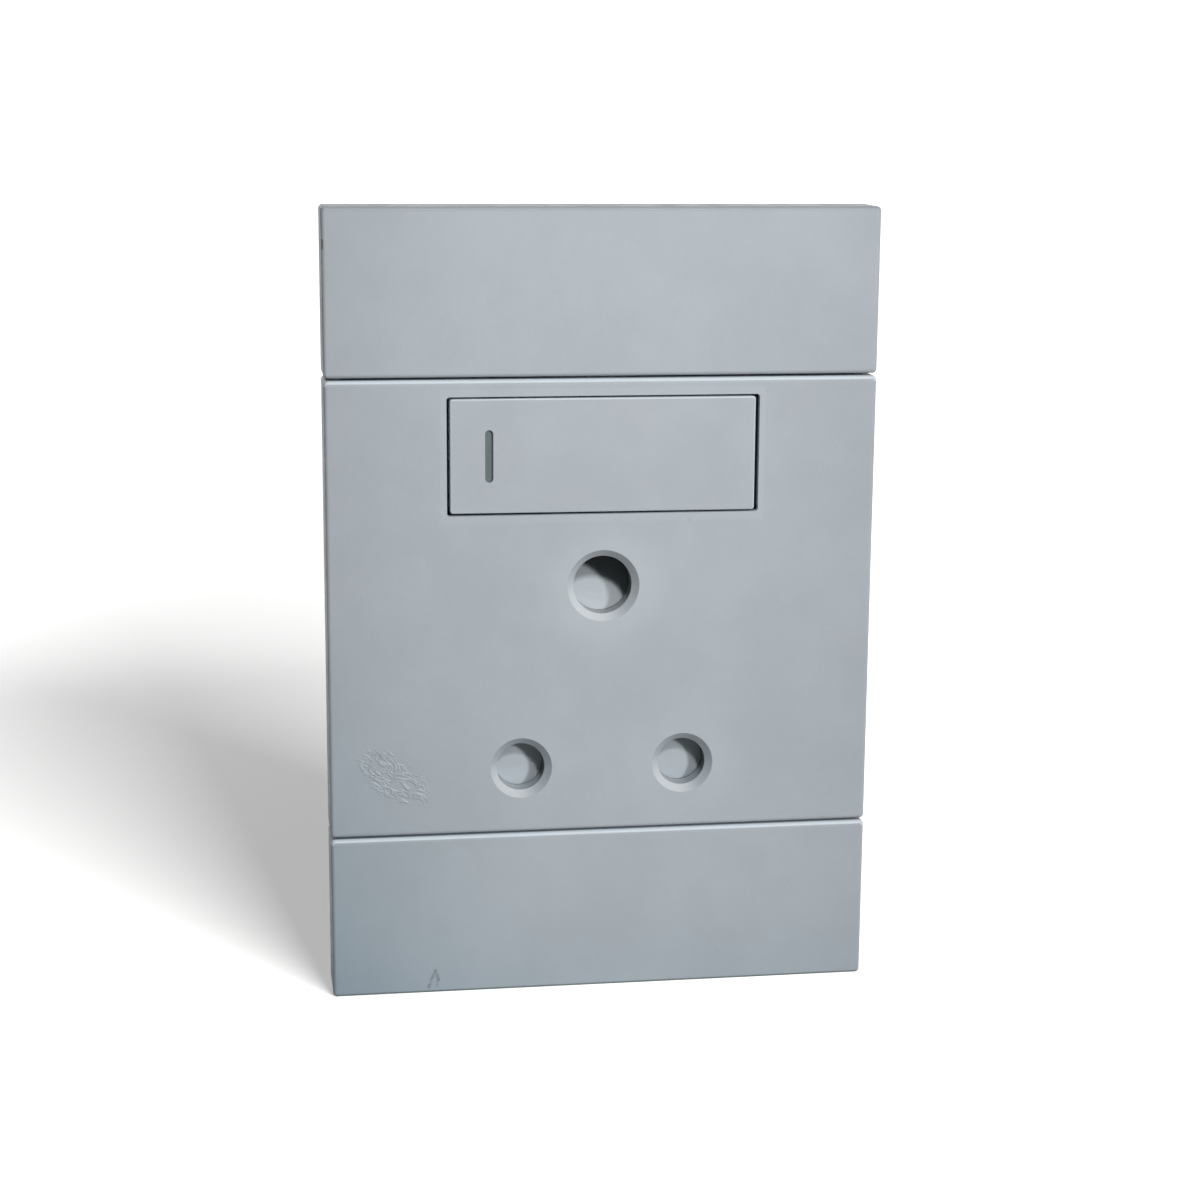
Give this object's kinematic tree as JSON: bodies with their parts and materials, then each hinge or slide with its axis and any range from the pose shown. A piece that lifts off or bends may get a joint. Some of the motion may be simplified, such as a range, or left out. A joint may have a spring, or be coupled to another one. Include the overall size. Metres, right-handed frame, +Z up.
{
  "type": "switched socket",
  "caption": "Tall wall socket plate with a wide rocker switch above shuttered round pin holes.",
  "frame": {"origin": "centre of the two box screws, in the plane of the wall", "axes": "X to the right, Z up; the front faces -Y and the box behind the wall is on +Y"},
  "size_m": [0.0846, 0.0333, 0.1224],
  "materials": {
    "front_plastic": "fine matt moulding",
    "rocker_plastic": "fine matt moulding",
    "indicator_plastic": "dull grey-green",
    "shutter_plastic": "plain moulding",
    "housing_plastic": "plain moulding",
    "frame_plastic": "plain moulding",
    "plunger_plastic": "natural nylon",
    "spring_steel": "drawn wire",
    "contact_brass": "pressed strip",
    "contact_silver": "dull silver",
    "terminal_brass": "machined",
    "screw_steel": "zinc plated"
  },
  "bodies": {
    "base": {"top_cover": "front_plastic", "bottom_cover": "front_plastic", "front_plate": "front_plastic", "rear_housing": "housing_plastic", "mounting_frame": "frame_plastic", "shutter_spring": "spring_steel", "fixed_contact": "contact_brass", "fixed_contact_rivet": "contact_silver", "pivot_bracket": "contact_brass", "live_contact": "contact_brass", "neutral_contact": "contact_brass", "earth_contact": "contact_brass", "live_terminal": "terminal_brass", "neutral_terminal": "terminal_brass", "earth_terminal": "terminal_brass", "live_terminal_screw": "screw_steel", "neutral_terminal_screw": "screw_steel", "earth_terminal_screw": "screw_steel", "box_screw_upper": "screw_steel", "box_screw_lower": "screw_steel", "assembly_screw_1": "screw_steel", "assembly_screw_2": "screw_steel", "assembly_screw_3": "screw_steel", "assembly_screw_4": "screw_steel"},
    "rocker": {"rocker": "rocker_plastic", "indicator_lens": "indicator_plastic", "plunger_spring": "spring_steel"},
    "plunger": {"plunger": "plunger_plastic"},
    "seesaw": {"moving_contact": "contact_brass", "moving_contact_rivet": "contact_silver"},
    "shutter": {"shutter": "shutter_plastic"}
  },
  "joints": [
    {"name": "rocker_hinge", "type": "hinge", "parent": "base", "child": "rocker", "pos_m": [0, -0.0046, 0.02385], "axis": [0, 0, 1], "range_deg": [0, 4]},
    {"name": "plunger_slide", "type": "slide", "parent": "rocker", "child": "plunger", "axis": [-0.0175, -0.9998, 0], "range_m": [0, 0.001], "stiffness_N_per_m": 300, "springref_m": -0.008, "deforming": ["plunger_spring"]},
    {"name": "seesaw_hinge", "type": "hinge", "parent": "base", "child": "seesaw", "pos_m": [-0.00023, 0.01, 0.02385], "axis": [0, 0, 1], "range_deg": [-12, 0]},
    {"name": "shutter_slide", "type": "slide", "parent": "base", "child": "shutter", "axis": [0, 0, -1], "range_m": [0, 0.0082], "stiffness_N_per_m": 160, "springref_m": -0.0075, "deforming": ["shutter_spring"]}
  ],
  "couplings": [
    {"joint": "seesaw_hinge", "follows": "rocker_hinge", "ratio": -3}
  ]
}
